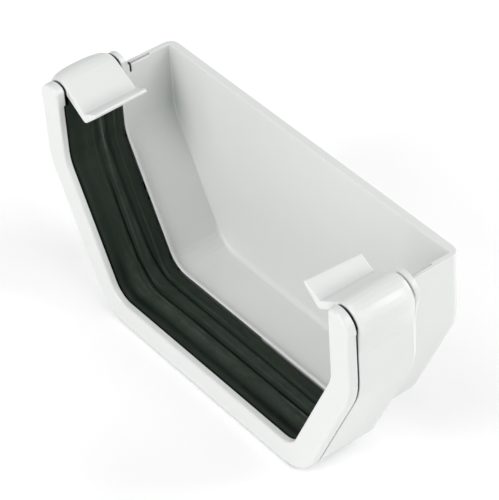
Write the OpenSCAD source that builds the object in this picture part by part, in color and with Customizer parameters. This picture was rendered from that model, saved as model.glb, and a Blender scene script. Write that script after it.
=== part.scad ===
// Stop end for a square-line roof gutter: a one-piece white moulding with a rubber seal.
// X runs across the gutter, Y along it (the open mouth faces -Y), Z up. The origin is the
// middle of the part's footprint, on the underside of the socket.

/* [Gutter that it closes] */
// Outer width of the gutter over its upright sides
gutter_w = 114; // [100:0.5:125]
// Outer width of the gutter's flat bottom, between the sharp corners
gutter_foot_w = 76.9; // [66:0.1:84]
// Height of the gutter's upright sides' lower bend above its underside
gutter_bend_h = 36.8; // [30:0.1:44]
// Clear gap between the gutter and the mouth of the rim
gutter_gap = 0.2; // [0.1:0.05:0.6]

/* [Socket] */
// Depth of the rim, from its mouth out to the socket's outer face
rim_depth = 7.8; // [6.6:0.1:9]
// Thickness of the rim's flange, along the gutter
rim_t = 2.1; // [1.6:0.1:2.5]
// Length of the socket's flat band, from the front face to the step
socket_len = 20.7; // [19.6:0.1:24]
// Wall of the socket behind the seal
socket_wall = 2.6; // [2:0.1:3.2]
// Height of the socket's upright walls, where the clip's slits end
socket_h = 64.2; // [60:0.1:66]
// Outer radius where the upright sides meet the slopes
bend_r = 20; // [12:0.5:26]
// Outer radius where the slopes meet the bottom
foot_r = 15; // [11:0.5:20]
// Radius of the rim's front outer edge
rim_edge_r = 0.8; // [0.3:0.1:1.2]
// Radius of the mouth's front edge
mouth_edge_r = 0.6; // [0.2:0.1:0.9]
// Width of the fine parting groove behind the rim
parting_w = 0.45; // [0.3:0.05:0.7]
// Depth of the fine parting groove
parting_depth = 0.7; // [0.3:0.1:1.2]

/* [Closed end] */
// Overall length along the gutter
body_len = 40.4; // [38:0.2:50]
// Length of the curved step from the socket down to the closed end
step_len = 4.6; // [4:0.1:6]
// Small ledge on the upright sides, where the step starts
step_ledge = 0.3; // [0.1:0.05:0.6]
// Outer width of the closed end
end_w = 120.2; // [117:0.1:123]
// Outer width of the closed end's flat bottom, between the sharp corners
end_foot_w = 80.8; // [76:0.1:84]
// Height of the closed end's lower bends
end_bend_h = 43.2; // [40:0.1:46]
// Height of the closed end's underside above the socket's underside
end_floor_h = 3.6; // [3:0.1:4.4]
// Height of the closed end's flat top edge
end_h = 65; // [64:0.1:68]
// Outer radius of the closed end's lower bends
end_bend_r = 16; // [10:0.5:20]
// Outer radius of the closed end's bottom corners
end_foot_r = 12; // [8:0.5:16]
// Wall of the closed end's sides and bottom
end_wall = 1.8; // [1.6:0.1:2.4]
// Thickness of the end plate
plate_t = 2.4; // [2:0.1:4]
// Radius round the outside of the end plate
plate_edge_r = 3; // [1:0.5:4]
// Radius of the fillet between the floor and the end plate
floor_fillet_r = 1.6; // [0.5:0.1:3]

/* [Clips] */
// Radius of the clip's shoulder, over the gutter's edge
shoulder_r = 5; // [4:0.1:6]
// Height of the shoulder's centre
shoulder_h = 63.4; // [63:0.1:64.2]
// Thickness of the clip
clip_t = 2.2; // [1.8:0.1:2.5]
// How far the clip bulges out of the socket at the middle of its length
clip_bulge = 2.3; // [1:0.1:3]
// How far the clip's two ends stand out of the socket
clip_proud = 0.3; // [0.1:0.05:0.5]
// How far below the shoulder's centre the clips and the cheeks start out of the walls
root_depth = 9; // [7:0.5:11]
// Slope of the clip's leg, down from the shoulder
leg_slope = 28; // [22:1:34]
// Length of the clip's leg, from the shoulder to the valley
leg_len = 8.9; // [7:0.1:10]
// Slope of the lip, up from the valley
lip_slope = 29; // [20:1:36]
// Length of the lip, from the valley to its tip
lip_len = 5.7; // [4:0.1:8]
// How much shorter the lip is at its back end
lip_taper = 0.9; // [0:0.1:1.5]
// Thickness of the lip at its tip
lip_tip_t = 1.3; // [1:0.1:1.8]
// Width of the slits at the clip's two ends
slit_w = 0.6; // [0.4:0.05:1]
// Thickness of the arched cheek behind the clip, along the gutter
cheek_t = 1.6; // [1:0.1:2.4]
// Width of the relief notch behind the cheek
notch_w = 0.5; // [0.4:0.1:1.2]
// Depth of the relief notch, down from the closed end's top edge
notch_depth = 3; // [1:0.5:6]
// Length of the small rebate behind the notch, along the wall's inner top edge
rebate_len = 6.6; // [3:0.2:9]
// Width and depth of that rebate
rebate_w = 0.5; // [0.3:0.1:0.8]

/* [Seal] */
// Height of the seal's plain surface over the mouth of the rim, negative when sunk
seal_rise = -0.4; // [-1:0.1:0]
// Height of the seal's ridges
ridge_h = 0.9; // [0.4:0.1:1.2]
// Height of the seal's ends above the socket's underside
seal_top_h = 62.5; // [56:0.5:62.5]
// Clear gap round the seal in its groove
seal_gap = 0.05; // [0.03:0.01:0.15]
// Thickness of the retaining lip behind the seal
lip_t = 1; // [0.6:0.1:1.5]
// How far the retaining lip stays below the mouth of the rim
lip_sink = 0.3; // [0.1:0.1:0.8]

/* [Hidden] */

// Steps in each rounded corner, in each edge round and along the step
corner_steps = 7;
edge_steps = 4;
step_steps = 8;
// Overlap of cutters past the faces that they open
cut = 1;
high = 90;

// Where things lie along the gutter, measured from the front face
rim_back = rim_t;
clip_start = rim_t + slit_w + 0.6;
clip_end = socket_len;
cheek_start = clip_end + slit_w;
cheek_end = cheek_start + cheek_t;
notch_start = socket_len + step_len - 0.6;
seal_end = socket_len;
plate_front = body_len - plate_t;

// An outline is [width, bottom width, bend height, bottom height, bend radius, corner radius, top]
mouth_inset = rim_depth;
socket_w = gutter_w + 2 * (gutter_gap + rim_depth);
gutter_slope = atan2((gutter_w - gutter_foot_w) / 2, gutter_bend_h);
socket_inset = gutter_gap + rim_depth;
socket_foot_w = gutter_foot_w + 2 * socket_inset * tan((90 - gutter_slope) / 2);
socket_bend_h = gutter_bend_h + socket_inset * (1 - tan(gutter_slope / 2));
SOCKET = [socket_w, socket_foot_w, socket_bend_h, 0, bend_r, foot_r, socket_h];
CLOSED = [end_w, end_foot_w, end_bend_h, end_floor_h, end_bend_r, end_foot_r, end_h];

// Slope of an outline's lower sides, from the upright
function slope(s) = atan2((s[0] - s[1]) / 2, s[2] - s[3]);

function arc(centre, r, from, to, steps) =
    [for (i = [0:steps]) let (a = from + (to - from) * i / steps)
        centre + r * [cos(a), sin(a)]];

// Right half of an outline that lies inset by d, its floor raised by lift, from the top down
function half_outline(s, d, lift, top) =
    let (a = slope(s),
         bend_x = s[0] / 2 - d,
         bend_z = s[2] + d * tan(a / 2),
         floor_z = s[3] + d + lift,
         foot_x = bend_x - (bend_z - floor_z) * tan(a),
         bend = max(s[4] - d, 3),
         foot = max(s[5] - d, 3),
         bend_centre = [bend_x - bend, bend_z + bend * tan(a / 2)],
         foot_centre = [foot_x - foot * tan((90 - a) / 2), floor_z + foot])
    concat([[bend_x, top]],
        arc(bend_centre, bend, 0, -a, corner_steps),
        arc(foot_centre, foot, -a, -90, corner_steps));

function backward(points) = [for (i = [len(points) - 1:-1:0]) points[i]];

function outline(s, d = 0, lift = 0, top = high) =
    let (right = half_outline(s, d, lift, top))
    concat(right, [for (p = backward(right)) [-p[0], p[1]]]);

function ring(y, points) = [for (p = points) [p[0], y, p[1]]];

// Solid skin through rings of points that all have the same count. A bent strip, whose rings run
// up its outer face and back down its inner one, has its ends closed from face to face
module loft(rings, strip = false) {
    n = len(rings[0]);
    last = (len(rings) - 1) * n;
    sides = [for (k = [0:len(rings) - 2]) for (i = [0:n - 1])
        let (a = k * n + i, b = k * n + (i + 1) % n)
        each [[a, b + n, b], [a, a + n, b + n]]];
    flat_ends = [[for (i = [0:n - 1]) i], [for (i = [n - 1:-1:0]) last + i]];
    strip_ends = [for (i = [0:n / 2 - 2]) each [
        [i, i + 1, n - 2 - i, n - 1 - i],
        [last + i + 1, last + i, last + n - 1 - i, last + n - 2 - i]]];
    polyhedron([for (r = rings) each r], concat(strip ? strip_ends : flat_ends, sides));
}

// Prism of an outline from one place along the gutter to another
module run(from, to, points) {
    translate([0, to, 0]) rotate([90, 0, 0]) linear_extrude(to - from) polygon(points);
}

// Outline of the outside at a share t of the way down the step
function stepped(t) =
    let (mix = (1 - cos(180 * t)) / 2, ledge = t > 0 && t < 1 ? step_ledge * (1 - t) : 0)
    (1 - mix) * SOCKET + mix * CLOSED - ledge * [2, 0, 0, 0, 0, 0, 0];

// Half width of the outside at a place on the step
function step_half_w(y) = stepped(min(max((y - socket_len) / step_len, 0), 1))[0] / 2;

// Outside of the whole moulding: rounded rim, flat band, curved step, rounded end plate
module outside() {
    front = [for (i = [0:edge_steps]) let (a = 90 * i / edge_steps, r = rim_edge_r)
        ring(r * (1 - cos(a)), outline(SOCKET, r * (1 - sin(a)), 0, socket_h))];
    band = [ring(socket_len, outline(SOCKET, 0, 0, socket_h))];
    step = [for (i = [0:step_steps]) let (t = max(i / step_steps, 0.02), s = stepped(t))
        ring(socket_len + step_len * t, outline(s, 0, 0, s[6]))];
    back = [for (i = [0:edge_steps + 1]) let (a = 90 * i / (edge_steps + 1), r = plate_edge_r)
        ring(body_len - r * (1 - sin(a)), outline(CLOSED, r * (1 - cos(a)), 0, end_h))];
    loft(concat(front, band, step, back));
}

// Mouth of the rim, with its rounded front edge
module mouth() {
    edge = [for (i = [0:edge_steps]) let (a = 90 * i / edge_steps, r = mouth_edge_r)
        ring(r * (1 - cos(a)), outline(SOCKET, mouth_inset - r * (1 - sin(a))))];
    start = [ring(-cut, outline(SOCKET, mouth_inset - mouth_edge_r))];
    loft(concat(start, edge, [ring(rim_back + 0.1, outline(SOCKET, mouth_inset))]));
}

// Hollow of the closed end, with the fillet along its floor
module end_hollow() {
    fillet = [for (i = [0:edge_steps]) let (a = 90 * i / edge_steps, r = floor_fillet_r)
        ring(plate_front - r * (1 - sin(a)), outline(CLOSED, end_wall, r * (1 - cos(a))))];
    loft(concat([ring(seal_end + lip_t, outline(CLOSED, end_wall))], fillet));
}

// Fine groove round the outside, in line with the clips' front slits
module parting_groove() {
    start = clip_start - slit_w;
    difference() {
        run(start, start + parting_w, outline(SOCKET, -cut));
        run(start - cut, start + slit_w + cut, outline(SOCKET, parting_depth, 0, high + cut));
    }
}

// How far the clip stands out at a place along it: most in the middle, least at the slits
function bulge(y) =
    let (u = 2 * (y - clip_start) / (clip_end - clip_start) - 1)
    clip_proud + (clip_bulge - clip_proud) * sqrt(max(1 - pow(abs(u), 2.4), 0));

// Section of the right clip with its shoulder pushed out by b and its lip l long: wall, shoulder,
// leg, valley, lip
function clip_section(b, l) =
    let (face = socket_w / 2,
         centre = [face - shoulder_r, shoulder_h],
         root_h = shoulder_h - root_depth,
         turn = 90 + leg_slope,
         leg_dir = [-cos(leg_slope), -sin(leg_slope)],
         leg_normal = [-sin(leg_slope), cos(leg_slope)],
         lip_dir = [-cos(lip_slope), sin(lip_slope)],
         lip_normal = [sin(lip_slope), cos(lip_slope)],
         valley = centre + shoulder_r * leg_normal + leg_len * leg_dir,
         nose = valley - clip_t * 1.35 * [0, 1],
         tip = valley + l * lip_dir,
         steps = 9,
         outer = [for (i = [0:steps]) let (a = turn * i / steps)
             centre + (shoulder_r + b * (1 - 0.6 * pow(i / steps, 2))) * [cos(a), sin(a)]],
         inner_b = min(b, clip_t - 0.4),
         inner = [for (i = [steps:-1:0]) let (a = turn * i / steps)
             centre + (shoulder_r - clip_t + inner_b * (1 - 0.6 * pow(i / steps, 2)))
                 * [cos(a), sin(a)]])
    concat(
        [[face - 0.3, root_h]],
        [for (k = [1:4]) let (t = k / 5) [face + b * t * t * (3 - 2 * t), root_h + root_depth * t]],
        outer,
        [valley + 0.5 * [0.9, 0.45], valley + 0.5 * [-0.9, 0.45]],
        arc(tip - lip_tip_t / 2 * lip_normal, lip_tip_t / 2, 90 - lip_slope, 270 - lip_slope, 4),
        [nose + 0.9 * [-0.85, 0.45], nose + 0.2 * [0, 0.4], nose + 0.9 * [0.85, 0.45]],
        inner,
        [for (k = [4:-1:1]) let (t = k / 5)
            [face - clip_t + inner_b * t * t * (3 - 2 * t), root_h + root_depth * t]],
        [[face - clip_t, root_h]]);

module clip() {
    stations = 16;
    loft([for (i = [0:stations])
        let (t = (1 - cos(180 * i / stations)) / 2, y = clip_start + (clip_end - clip_start) * t)
        ring(y, backward(clip_section(bulge(y), lip_len - lip_taper * t)))], strip = true);
}

// Arch that continues the clip's shoulder, inset by d, from the mouth's edge over to the outside
function arch(d) =
    let (edge = socket_w / 2 - mouth_inset + d,
         r = shoulder_r + clip_proud - d,
         centre = [socket_w / 2 - shoulder_r, shoulder_h],
         last = max(min(acos(max((edge + 0.8 - centre[0]) / r, -1)), 112), 10),
         top = centre + r * [cos(last), sin(last)])
    concat([[edge, top[1] - 1]], arc(centre, r, last, 0, 10));

// Arched end of the rim, in front of the clip and above the seal
module rim_horn() {
    edge = socket_w / 2 - mouth_inset;
    base = seal_top_h + 0.2;
    front = [for (i = [0:edge_steps]) let (a = 90 * i / edge_steps, r = rim_edge_r, d = r * (1 - sin(a)))
        ring(r * (1 - cos(a)),
            concat([[edge + d, base]], arch(d), [[socket_w / 2 - d, base]]))];
    back = ring(clip_start - slit_w, concat([[edge, base]], arch(0), [[socket_w / 2, base]]));
    loft(concat(front, [back]));
}

// Arched cheek behind the clip, whose outside leans back down to the step
module cheek() {
    edge = socket_w / 2 - mouth_inset;
    wall_x = end_w / 2 - end_wall;
    stations = 3;
    loft([for (i = [0:stations])
        let (t = i / stations, y = cheek_start + (cheek_end - cheek_start) * t,
             foot_h = shoulder_h - root_depth)
        ring(y, concat([[wall_x + 1, foot_h], [edge, socket_h]], arch(0),
            [[step_half_w(y) - 0.05, foot_h]]))]);
}

// Notch down the inside of the wall behind the cheek, and the rebate that runs on from it
module relief_notch() {
    edge = end_w / 2 - end_wall;
    translate([edge - cut, notch_start, end_h - notch_depth])
        cube([cut + end_wall * 0.75, notch_w, notch_depth + cut]);
    translate([edge - cut, notch_start, end_h - rebate_w])
        cube([cut + rebate_w, notch_w + rebate_len, rebate_w + cut]);
}

module on_both_sides() {
    children();
    mirror([1, 0, 0]) children();
}

module stop_end_body() {
    color("white") translate([0, -body_len / 2, 0]) difference() {
        union() {
            difference() {
                outside();
                mouth();
                run(rim_back, seal_end, outline(SOCKET, socket_wall));
                run(seal_end - cut, seal_end + lip_t + 0.1,
                    outline(SOCKET, mouth_inset - lip_sink));
                end_hollow();
            }
            on_both_sides() {
                rim_horn();
                clip();
                cheek();
            }
        }
        parting_groove();
        on_both_sides() relief_notch();
    }
}

// Height of the seal's ridges at a share t of its width: one broad, then two narrower
function ridges(t) =
    ridge_h * (exp(-pow((t - 0.40) / 0.10, 2)) + 0.9 * exp(-pow((t - 0.62) / 0.05, 2))
        + 0.8 * exp(-pow((t - 0.79) / 0.04, 2)) + 0.5 * exp(-pow((t - 1) / 0.06, 2)));

module rubber_seal() {
    start = rim_back + seal_gap;
    end = seal_end - seal_gap;
    stations = 26;
    color([0.10, 0.12, 0.11]) translate([0, -body_len / 2, 0]) difference() {
        run(start, end, outline(SOCKET, socket_wall + seal_gap, 0, seal_top_h));
        loft(concat(
            [ring(start - cut, outline(SOCKET, mouth_inset + seal_rise))],
            [for (i = [0:stations]) let (t = i / stations)
                ring(start + (end - start) * t,
                    outline(SOCKET, mouth_inset + seal_rise + ridges(t)))],
            [ring(end + cut, outline(SOCKET, mouth_inset + seal_rise + ridges(1)))]));
    }
}

stop_end_body();
rubber_seal();
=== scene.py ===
import math

import bmesh
import bpy
from mathutils import Matrix, Vector


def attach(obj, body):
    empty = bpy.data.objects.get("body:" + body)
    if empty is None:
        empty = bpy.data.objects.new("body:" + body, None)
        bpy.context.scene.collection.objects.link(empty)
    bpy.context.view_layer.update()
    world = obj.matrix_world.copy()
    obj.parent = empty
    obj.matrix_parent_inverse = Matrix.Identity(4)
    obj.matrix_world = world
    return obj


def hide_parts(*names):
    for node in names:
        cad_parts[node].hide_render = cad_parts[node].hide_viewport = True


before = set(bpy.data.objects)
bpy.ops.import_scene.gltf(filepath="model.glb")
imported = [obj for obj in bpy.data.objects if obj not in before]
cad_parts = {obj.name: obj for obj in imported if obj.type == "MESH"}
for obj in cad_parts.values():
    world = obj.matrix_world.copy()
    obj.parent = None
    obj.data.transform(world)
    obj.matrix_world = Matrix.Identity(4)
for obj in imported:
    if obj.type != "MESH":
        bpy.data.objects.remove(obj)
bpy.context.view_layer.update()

# Places on the moulding where its material paints shade, in metres. A half is half the width of a mark.
FRONT_SLIT_Y, FRONT_SLIT_HALF = -0.0172, 0.0004
BACK_SLIT_Y, BACK_SLIT_HALF, FAINT_SLIT_HALF = 0.0008, 0.0003, 0.0006
VALLEY_X, VALLEY_Z = 0.0565, 0.056
CLOSED_END_Y = 0.0052
NOTCH_Y, NOTCH_HALF, NOTCH_Z = 0.00475, 0.0004, 0.0615
REBATE_X, REBATE_Y, REBATE_Z = 0.05855, 0.0078, 0.0650
REBATE_HALF_X, REBATE_HALF_Y, REBATE_HALF_Z = 0.00045, 0.0037, 0.0004


class Graph:
    """Adds nodes to one material and links them, so that each material reads as a short list."""

    def __init__(self, name):
        self.material = bpy.data.materials.new(name)
        self.material.use_nodes = True
        self.tree = self.material.node_tree
        self.shader = self.tree.nodes["Principled BSDF"]
        self.coord = self.tree.nodes.new("ShaderNodeTexCoord").outputs["Object"]

    def put(self, socket, value):
        if isinstance(value, bpy.types.NodeSocket):
            self.tree.links.new(value, socket)
        else:
            socket.default_value = value

    def node(self, kind, inputs=None, **settings):
        made = self.tree.nodes.new(kind)
        for key, value in settings.items():
            setattr(made, key, value)
        for key, value in (inputs or {}).items():
            self.put(made.inputs[key], value)
        return made

    def stretched(self, scale):
        return self.node("ShaderNodeMapping", {"Vector": self.coord, "Scale": scale}).outputs["Vector"]

    def noise(self, scale, detail=3.0, roughness=0.5, stretch=None):
        vector = self.stretched(stretch) if stretch else self.coord
        inputs = {"Vector": vector, "Scale": scale, "Detail": detail, "Roughness": roughness}
        return self.node("ShaderNodeTexNoise", inputs).outputs["Fac"]

    def ramp(self, value, low, high, to_low=0.0, to_high=1.0):
        inputs = {"Value": value, "From Min": low, "From Max": high, "To Min": to_low, "To Max": to_high}
        return self.node("ShaderNodeMapRange", inputs).outputs["Result"]

    def math(self, kind, a, b):
        return self.node("ShaderNodeMath", {0: a, 1: b}, operation=kind).outputs[0]

    def mix(self, share, a, b):
        inputs = {"Factor": share, "A": a, "B": b}
        made = self.tree.nodes.new("ShaderNodeMix")
        made.data_type = "RGBA"
        for socket in made.inputs:
            if socket.name in inputs and socket.enabled:
                self.put(socket, inputs[socket.name])
        return next(s for s in made.outputs if s.enabled)

    def bump(self, height, strength, distance):
        inputs = {"Height": height, "Strength": strength, "Distance": distance}
        return self.node("ShaderNodeBump", inputs).outputs["Normal"]


def white_plastic():
    """Moulded white PVC-U: a satin gloss and faint flow tones, with painted shade in the upright corners,
    the fine recesses, the clips' valleys, the slits and the notches, and a painted lightening in one
    slit.
    """
    g = Graph("white_moulded_plastic")
    x, y, z = g.node("ShaderNodeSeparateXYZ", {"Vector": g.coord}).outputs
    across = g.math("ABSOLUTE", x, 0.0)

    def open_sky(distance):
        return g.node("ShaderNodeAmbientOcclusion", {"Distance": distance}, samples=8).outputs["AO"]

    def over(value, limit):
        return g.math("GREATER_THAN", value, limit)

    def under(value, limit):
        return g.math("LESS_THAN", value, limit)

    def within(value, middle, half):
        return under(g.math("ABSOLUTE", g.math("SUBTRACT", value, middle), 0.0), half)

    def product(first, *rest):
        for factor in rest:
            first = g.math("MULTIPLY", first, factor)
        return first

    # Cloudy tone with flow marks
    cloud = g.ramp(g.noise(22.0, 3.0), 0.35, 0.65)
    flow = g.ramp(g.noise(60.0, 2.0, stretch=(1.0, 0.25, 1.0)), 0.3, 0.7)
    tone = g.mix(cloud, (0.662, 0.676, 0.664, 1), (0.680, 0.692, 0.682, 1))
    tone = g.mix(product(flow, 0.25), tone, (0.693, 0.701, 0.693, 1))

    # Painted shade in the upright corners of the closed end, darkest where they are most enclosed
    height = product(g.ramp(z, 0.028, 0.046), g.ramp(z, 0.051, 0.0655, 1.0, 0.2))
    painted_corner_shade = g.ramp(open_sky(0.012), 0.35, 0.90, 0.60, 0.0)
    tone = g.mix(product(painted_corner_shade, height, over(y, CLOSED_END_Y)), tone, (0.270, 0.315, 0.288, 1))

    # Painted shade in fine recesses; the right clip's back slit gets less of it and is painted lighter
    # inside, so it stays faint
    near = open_sky(0.0011)
    right = over(x, 0.0)
    faint = product(within(y, BACK_SLIT_Y, FAINT_SLIT_HALF), right)
    painted_recess_shade = product(g.ramp(near, 0.25, 0.8, 0.7, 0.0), g.ramp(faint, 0.0, 1.0, 1.0, 0.15))
    tone = g.mix(painted_recess_shade, tone, (0.16, 0.17, 0.16, 1))
    tone = g.mix(product(faint, g.ramp(near, 0.4, 0.75, 0.45, 0.0)), tone, (0.90, 0.91, 0.90, 1))

    # Shade in the clips' valleys, between leg and lip
    valley = product(under(across, VALLEY_X), over(z, VALLEY_Z), under(y, 0.0))
    bend = g.ramp(open_sky(0.0045), 0.62, 0.98, 0.62, 0.0)
    tone = g.mix(product(valley, bend), tone, (0.30, 0.33, 0.31, 1))

    # Painted shade, near black, inside the other slits, along the rebates and in the relief notches
    left_slit = product(within(y, BACK_SLIT_Y, BACK_SLIT_HALF), under(x, 0.0))
    slit = g.math("MAXIMUM", within(y, FRONT_SLIT_Y, FRONT_SLIT_HALF), left_slit)
    painted_gap_shade = product(slit, g.ramp(near, 0.46, 0.66, 0.97, 0.0))
    broken = g.math("MAXIMUM", product(g.ramp(g.noise(900.0, 1.0), 0.40, 0.52), right), 0.62)
    rebate = product(within(z, REBATE_Z, REBATE_HALF_Z), within(y, REBATE_Y, REBATE_HALF_Y),
                     within(across, REBATE_X, REBATE_HALF_X), broken, 0.9)
    notch = product(within(y, NOTCH_Y, NOTCH_HALF), over(z, NOTCH_Z), g.ramp(near, 0.50, 0.75, 0.95, 0.0))
    painted_gap_shade = g.math("MAXIMUM", painted_gap_shade, g.math("MAXIMUM", rebate, notch))
    tone = g.mix(painted_gap_shade, tone, (0.012, 0.013, 0.012, 1))

    g.put(g.shader.inputs["Base Color"], tone)
    g.put(g.shader.inputs["Roughness"], g.ramp(g.noise(14.0, 1.0), 0.3, 0.7, 0.33, 0.36))
    g.shader.inputs["IOR"].default_value = 1.53
    return g.material


def seal_rubber():
    """Black rubber with a green cast: painted shade in the grooves, painted highlight and dust specks on
    the ridges, drag lines along the strip.
    """
    g = Graph("black_seal_rubber")
    g.coord = g.node("ShaderNodeUVMap", uv_map="strip").outputs["UV"]
    height = g.node("ShaderNodeAttribute", attribute_name="rise").outputs["Fac"]
    drag = g.noise(1.0, 4.0, 0.62, stretch=(9.0, 75.0, 1.0))
    patch = g.noise(1.0, 3.0, 0.6, stretch=(22.0, 5.0, 1.0))
    speck = g.noise(1.0, 2.0, 0.6, stretch=(190.0, 40.0, 1.0))
    # Tone by the face's height: painted shade low in the grooves, painted highlight up on the ridges
    crest = g.ramp(height, 0.30, 0.85)
    tone = g.mix(g.ramp(height, -0.35, 0.32), (0.0015, 0.0030, 0.0018, 1), (0.0150, 0.0235, 0.0155, 1))
    tone = g.mix(crest, tone, (0.0360, 0.0500, 0.0370, 1))
    tone = g.mix(g.ramp(height, 0.70, 1.15), tone, (0.0800, 0.0960, 0.0800, 1))
    streak = g.math("MULTIPLY", g.ramp(drag, 0.40, 0.70, 0.0, 0.45), g.ramp(height, -0.1, 0.4))
    tone = g.mix(streak, tone, (0.0400, 0.0540, 0.0420, 1))
    tone = g.mix(g.ramp(patch, 0.42, 0.66, 0.0, 0.50), tone, (0.0095, 0.0180, 0.0120, 1))
    dust = g.math("MULTIPLY", g.ramp(speck, 0.52, 0.72, 0.0, 0.35), crest)
    tone = g.mix(dust, tone, (0.0600, 0.0680, 0.0580, 1))
    g.put(g.shader.inputs["Base Color"], tone)
    g.put(g.shader.inputs["Roughness"], g.ramp(drag, 0.3, 0.7, 0.42, 0.60))
    g.shader.inputs["Specular IOR Level"].default_value = 0.13
    grain = g.math("ADD", drag, g.math("MULTIPLY", speck, 0.5))
    g.put(g.shader.inputs["Normal"], g.bump(grain, 0.5, 0.00010))
    return g.material


# Mesh of the moulding: points closer than WELD are joined and VOXEL is the grid's cell, both in metres.
# KEEP is the share of the faces that stays.
WELD, VOXEL, SMOOTH_STEPS, KEEP = 0.000002, 0.00019, 5, 0.082


def moulded_copy(node, name):
    """A fine mesh of a CAD node with its edges softened, as a moulding has them."""
    rough = bpy.data.objects.new(name + "_rough", node.data.copy())
    bpy.context.scene.collection.objects.link(rough)
    rough.modifiers.new("weld", "WELD").merge_threshold = WELD
    fine = rough.modifiers.new("fine", "REMESH")
    fine.mode = "VOXEL"
    fine.voxel_size = VOXEL
    soft = rough.modifiers.new("soft_edges", "SMOOTH")
    soft.factor = 0.5
    soft.iterations = SMOOTH_STEPS
    rough.modifiers.new("lighter", "DECIMATE").ratio = KEEP
    graph = bpy.context.evaluated_depsgraph_get()
    mesh = bpy.data.meshes.new_from_object(rough.evaluated_get(graph))
    bpy.data.objects.remove(rough)
    mesh.name = name
    mesh.materials.clear()
    mesh.shade_smooth()
    made = bpy.data.objects.new(name, mesh)
    bpy.context.scene.collection.objects.link(made)
    return made


moulding = moulded_copy(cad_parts["stop_end_body"], "moulded_body")
moulding.data.materials.append(white_plastic())
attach(moulding, "root")
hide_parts("stop_end_body")

# The socket's outline and the seal in it: lengths in millimetres, as in the part's source
WIDTH, FOOT_WIDTH, BEND_Z, BEND_R, FOOT_R = 130.0, 86.75, 42.9, 20.0, 15.0
SEAL_FRONT, SEAL_BACK, SEAL_TOP = 2.2, 20.6, 62.5
FRONT_FACE_Y = -20.2
# Insets from the outline: of the seal's bonded side, of its plain face, and of the line it is measured on
SEAL_OUTER, SEAL_FACE, SEAL_MIDDLE = 2.7, 7.38, 7.9
# The seal's ends stand higher behind a narrow front stretch
END_LIFT, END_LIFT_FROM = 1.6, 3.5
# How many steps the mesh has across the strip and along each stretch of half the outline
ACROSS_STEPS, SIDE_STEPS, BEND_STEPS, SLOPE_STEPS, FOOT_STEPS, HALF_FLOOR_STEPS = 150, 20, 16, 44, 22, 38

# Along the strip from its left top end, in millimetres: where each groove and ridge runs across it,
# as a share of its width from the front, and how deep, wide or high it is there
LENGTH = 193.0
GROOVE_A = ((0, 0.50), (14, 0.50), (37, 0.460), (50, 0.463), (58, 0.508), (66, 0.468), (74, 0.475),
            (193, 0.478))
DEPTH_A = ((0, 0.10), (20, 0.14), (36, 0.52), (140, 0.60), (165, 0.30), (193, 0.12))
RIDGE_A1 = ((0, 0.440), (16, 0.430), (27, 0.410), (47, 0.392), (56, 0.435), (66, 0.405), (90, 0.425),
            (193, 0.430))
RIDGE_A2 = ((0, 0.555), (9, 0.560), (19, 0.583), (28, 0.553), (38, 0.545), (54, 0.525), (62, 0.560),
            (193, 0.553))
GROOVE_B = ((0, 0.665), (30, 0.665), (50, 0.690), (59, 0.740), (66, 0.720), (193, 0.718))
WIDTH_B = ((0, 0.046), (30, 0.042), (46, 0.026), (60, 0.015), (140, 0.016), (193, 0.034))
RIDGE_B = ((0, 0.815), (12, 0.808), (40, 0.795), (60, 0.795), (72, 0.782), (82, 0.797), (105, 0.768),
           (193, 0.770))
FLOOR_RIB = ((0, 0.10), (44, 0.12), (58, 0.55), (135, 0.50), (150, 0.15), (193, 0.10))


def along(track, s):
    """Value of a track at a place along the strip, eased between its points."""
    for (s0, v0), (s1, v1) in zip(track, track[1:]):
        if s <= s1:
            u = (s - s0) / (s1 - s0)
            return v0 + (v1 - v0) * u * u * (3 - 2 * u)
    return track[-1][1]


def hump(t, middle, width):
    return math.exp(-((t - middle) / width) ** 2)


def waver(s, seed):
    """A slow, seeded wander along the strip, as fitted rubber has."""
    turn = 6.283
    u = turn * s / LENGTH
    return (math.sin(2.3 * u + seed) + 0.6 * math.sin(5.1 * u + 2.1 * seed)
            + 0.35 * math.sin(11.7 * u + 3.7 * seed) + 0.2 * math.sin(23.9 * u + 5.3 * seed))


def rise(s, t):
    """Height of the seal's face over its plain surface, in millimetres."""
    groove_a = along(GROOVE_A, s) + 0.004 * waver(s, 0.4)
    groove_b = along(GROOVE_B, s) + 0.004 * waver(s, 1.7)
    # Broad ribs and the hollow before them
    h = 0.22 + along(FLOOR_RIB, s) * hump(t, 0.335, 0.095) + 0.30 * hump(t, 0.62, 0.075)
    h -= (0.36 + 0.20 * hump(s, 122, 16)) * hump(t, 0.165, 0.055) * along(FLOOR_RIB, s) / 0.5
    # Narrow ridges
    h += (0.20 + 0.08 * waver(s, 2.2) + 0.45 * hump(s, 126, 7)) * hump(t, along(RIDGE_A1, s), 0.015)
    h += (0.26 + 0.09 * waver(s, 5.9) + 0.55 * hump(s, 9, 11)) * hump(t, along(RIDGE_A2, s), 0.017)
    h += (0.30 + 0.09 * waver(s, 3.1) + 0.25 * hump(s, 10, 6)) * hump(t, along(RIDGE_B, s), 0.016)
    h += 0.16 * hump(t, 0.068, 0.014) * (0.6 + 0.4 * waver(s, 4.6)) + 0.10 * hump(t, 0.89, 0.035)
    # Grooves
    h -= along(DEPTH_A, s) * hump(t, groove_a, 0.0145)
    h -= 0.50 * hump(t, groove_b, along(WIDTH_B, s))
    # Uneven surface with fine drag lines
    drag = 0.022 * math.sin(61 * t + 2 * waver(s, 6.0)) * (0.5 + 0.5 * waver(s, 8.0 * t))
    h += 0.030 * waver(s, 9.0 * t) + drag
    # Low back border, and both long edges rounded over
    h -= 0.12 * min(max((t - 0.84) / 0.1, 0), 1) + 0.25 * hump(t, 0.985, 0.022)
    return h - 1.1 * (hump(t, 0.0, 0.021) + hump(t, 1.0, 0.018))


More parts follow.
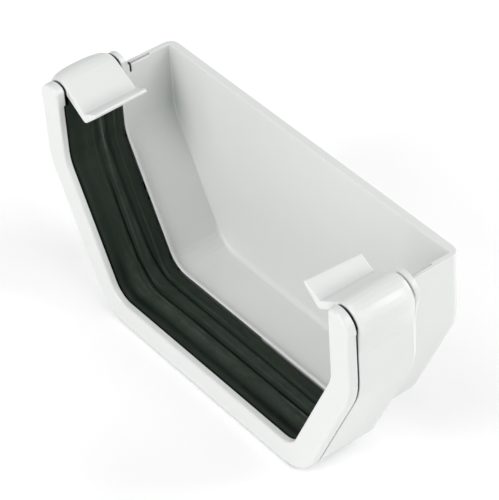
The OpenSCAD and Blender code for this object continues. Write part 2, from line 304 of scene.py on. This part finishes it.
def half_path(inset):
    """Right half of the socket's outline, inset, from the top down: points as (x, z)."""
    a = math.atan((WIDTH - FOOT_WIDTH) / 2 / BEND_Z)
    bend_x = WIDTH / 2 - inset
    bend_z = BEND_Z + inset * math.tan(a / 2)
    floor_z = inset
    foot_x = bend_x - (bend_z - floor_z) * math.tan(a)
    bend = BEND_R - inset
    foot = FOOT_R - inset
    bend_c = (bend_x - bend, bend_z + bend * math.tan(a / 2))
    foot_c = (foot_x - foot * math.tan((math.pi / 2 - a) / 2), floor_z + foot)

    def arc(c, r, start, end, n):
        turns = [start + (end - start) * i / n for i in range(n + 1)]
        return [(c[0] + r * math.cos(w), c[1] + r * math.sin(w)) for w in turns]

    def line(p, q, n):
        return [(p[0] + (q[0] - p[0]) * i / n, p[1] + (q[1] - p[1]) * i / n) for i in range(1, n)]

    top = (bend_x, SEAL_TOP)
    upper = arc(bend_c, bend, 0, -a, BEND_STEPS)
    lower = arc(foot_c, foot, -a, -math.pi / 2, FOOT_STEPS)
    side = line(top, upper[0], SIDE_STEPS)
    slope = line(upper[-1], lower[0], SLOPE_STEPS)
    whole_floor = line(lower[-1], (-lower[-1][0], lower[-1][1]), 2 * HALF_FLOOR_STEPS)
    return [top] + side + upper + slope + lower + whole_floor[:HALF_FLOOR_STEPS]


def full_path(inset):
    """The whole outline, inset, from its left top end to its right one."""
    right = half_path(inset)
    whole = right + [(-x, z) for x, z in reversed(right[:-1])]
    return whole[::-1]


def seal_strip():
    """Ribbed rubber strip that lines the socket, swept along its inside, with its own place along
    and across kept for the material."""
    middle = full_path(SEAL_MIDDLE)
    place = [0.0]
    for p, q in zip(middle, middle[1:]):
        place.append(place[-1] + math.dist(p, q))
    count = len(middle)
    outer = full_path(SEAL_OUTER)
    paths = {}
    points = []
    heights = []
    spots = []
    for i in range(count):
        s = place[i] * LENGTH / place[-1]
        for k in range(ACROSS_STEPS + 1):
            t = k / ACROSS_STEPS
            h = rise(s, t)
            inset = round(SEAL_FACE + h, 3)
            if inset not in paths:
                paths[inset] = full_path(inset)
            x, z = paths[inset][i]
            y = SEAL_FRONT + (SEAL_BACK - SEAL_FRONT) * t
            if i in (0, count - 1) and y > END_LIFT_FROM:
                z += END_LIFT
            points.append((x, y, z))
            heights.append(h)
            spots.append((s / 100, t))
        for y, t in ((SEAL_BACK, 1.0), (SEAL_FRONT, 0.0)):
            points.append((outer[i][0], y, outer[i][1]))
            heights.append(-1.0)
            spots.append((s / 100, t))
    # Each row has the face's points and the two corners of the bonded side
    n = ACROSS_STEPS + 3
    faces = [(i * n + k, (i + 1) * n + k, (i + 1) * n + (k + 1) % n, i * n + (k + 1) % n)
             for i in range(count - 1) for k in range(n)]
    faces += [tuple(range(n)), tuple((count - 1) * n + k for k in range(n - 1, -1, -1))]
    mesh = bpy.data.meshes.new("ribbed_seal")
    mesh.from_pydata([(x / 1000, (y + FRONT_FACE_Y) / 1000, z / 1000) for x, y, z in points], [], faces)
    mesh.attributes.new("rise", "FLOAT", "POINT").data.foreach_set("value", heights)
    strip = mesh.uv_layers.new(name="strip")
    for loop in mesh.loops:
        strip.data[loop.index].uv = spots[loop.vertex_index]
    shell = bmesh.new()
    shell.from_mesh(mesh)
    bmesh.ops.recalc_face_normals(shell, faces=shell.faces)
    shell.to_mesh(mesh)
    shell.free()
    mesh.shade_smooth()
    mesh.set_sharp_from_angle(angle=math.radians(60))
    made = bpy.data.objects.new("ribbed_seal", mesh)
    bpy.context.scene.collection.objects.link(made)
    return made


seal = seal_strip()
seal.data.materials.append(seal_rubber())
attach(seal, "root")
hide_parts("rubber_seal")


def floor():
    """Pale studio floor, which glows a little so that the picture's ground stays white."""
    half = 3.0
    corners = [(-half, -half, 0), (half, -half, 0), (half, half, 0), (-half, half, 0)]
    mesh = bpy.data.meshes.new("floor")
    mesh.from_pydata(corners, [], [(0, 1, 2, 3)])
    made = bpy.data.objects.new("floor", mesh)
    bpy.context.scene.collection.objects.link(made)
    g = Graph("pale_floor")
    tone = g.mix(g.noise(4.0), (0.90, 0.90, 0.90, 1), (0.92, 0.92, 0.92, 1))
    g.put(g.shader.inputs["Base Color"], tone)
    g.shader.inputs["Roughness"].default_value = 0.9
    g.shader.inputs["Specular IOR Level"].default_value = 0.1
    g.shader.inputs["Emission Color"].default_value = (1, 1, 1, 1)
    g.shader.inputs["Emission Strength"].default_value = 0.09
    mesh.materials.append(g.material)


# Soft boxes all round the part: distance, edge and height of the aim in metres
BOX_FAR, BOX_SIZE, AIM_Z = 1.2, 0.5, 0.03
# Elevation, azimuth from +X in degrees and power in watts
SOFT_BOXES = (
    (12, 45, 1.8), (12, 90, 4.4), (12, 135, 0.5), (12, 270, 3.8),
    (38, 0, 2.5), (38, 45, 4.8), (38, 270, 4.4), (38, 315, 0.4),
    (64, 180, 0.3), (64, 240, 2.9))


def soft_box(elevation, azimuth, power):
    """Square soft box that looks at the part, placed by its angles in degrees."""
    e = math.radians(elevation)
    a = math.radians(azimuth)
    place = (BOX_FAR * math.cos(e) * math.cos(a), BOX_FAR * math.cos(e) * math.sin(a),
             BOX_FAR * math.sin(e) + AIM_Z)
    name = "soft_box_%d_%d" % (elevation, azimuth)
    data = bpy.data.lights.new(name, "AREA")
    data.shape = "RECTANGLE"
    data.size = BOX_SIZE
    data.size_y = BOX_SIZE
    data.energy = power
    made = bpy.data.objects.new(name, data)
    made.location = place
    made.rotation_euler = (Vector((0, 0, AIM_Z)) - Vector(place)).to_track_quat("-Z", "Y").to_euler()
    bpy.context.scene.collection.objects.link(made)


# The photograph's view: azimuth, elevation and roll in degrees, place in metres, lens in millimetres
VIEW_ANGLES = (54.959, 40.189, -4.199)
VIEW_PLACE = (0.469166, -0.330411, 0.523444)
LENS, SENSOR = 205.76, 36.0


def camera():
    """The photograph's view."""
    azimuth, elevation, roll = (math.radians(x) for x in VIEW_ANGLES)
    right = Vector((math.cos(azimuth), math.sin(azimuth), 0))
    ahead = Vector((-math.sin(azimuth) * math.cos(elevation), math.cos(azimuth) * math.cos(elevation),
                    -math.sin(elevation)))
    up = right.cross(ahead)
    side = math.cos(roll) * right + math.sin(roll) * up
    top = -math.sin(roll) * right + math.cos(roll) * up
    data = bpy.data.cameras.new("camera")
    data.lens = LENS
    data.sensor_width = SENSOR
    data.clip_start, data.clip_end = 0.01, 20.0
    made = bpy.data.objects.new("camera", data)
    turn = Matrix((side, top, -ahead)).transposed().to_4x4()
    made.matrix_world = Matrix.Translation(VIEW_PLACE) @ turn
    bpy.context.scene.collection.objects.link(made)
    bpy.context.scene.camera = made


floor()
camera()
for elevation, azimuth, power in SOFT_BOXES:
    soft_box(elevation, azimuth, power)
world = bpy.data.worlds.new("studio")
world.use_nodes = True
world.node_tree.nodes["Background"].inputs["Color"].default_value = (1, 1, 1, 1)
world.node_tree.nodes["Background"].inputs["Strength"].default_value = 0.3
bpy.context.scene.world = world
bpy.context.scene.view_settings.view_transform = "Standard"
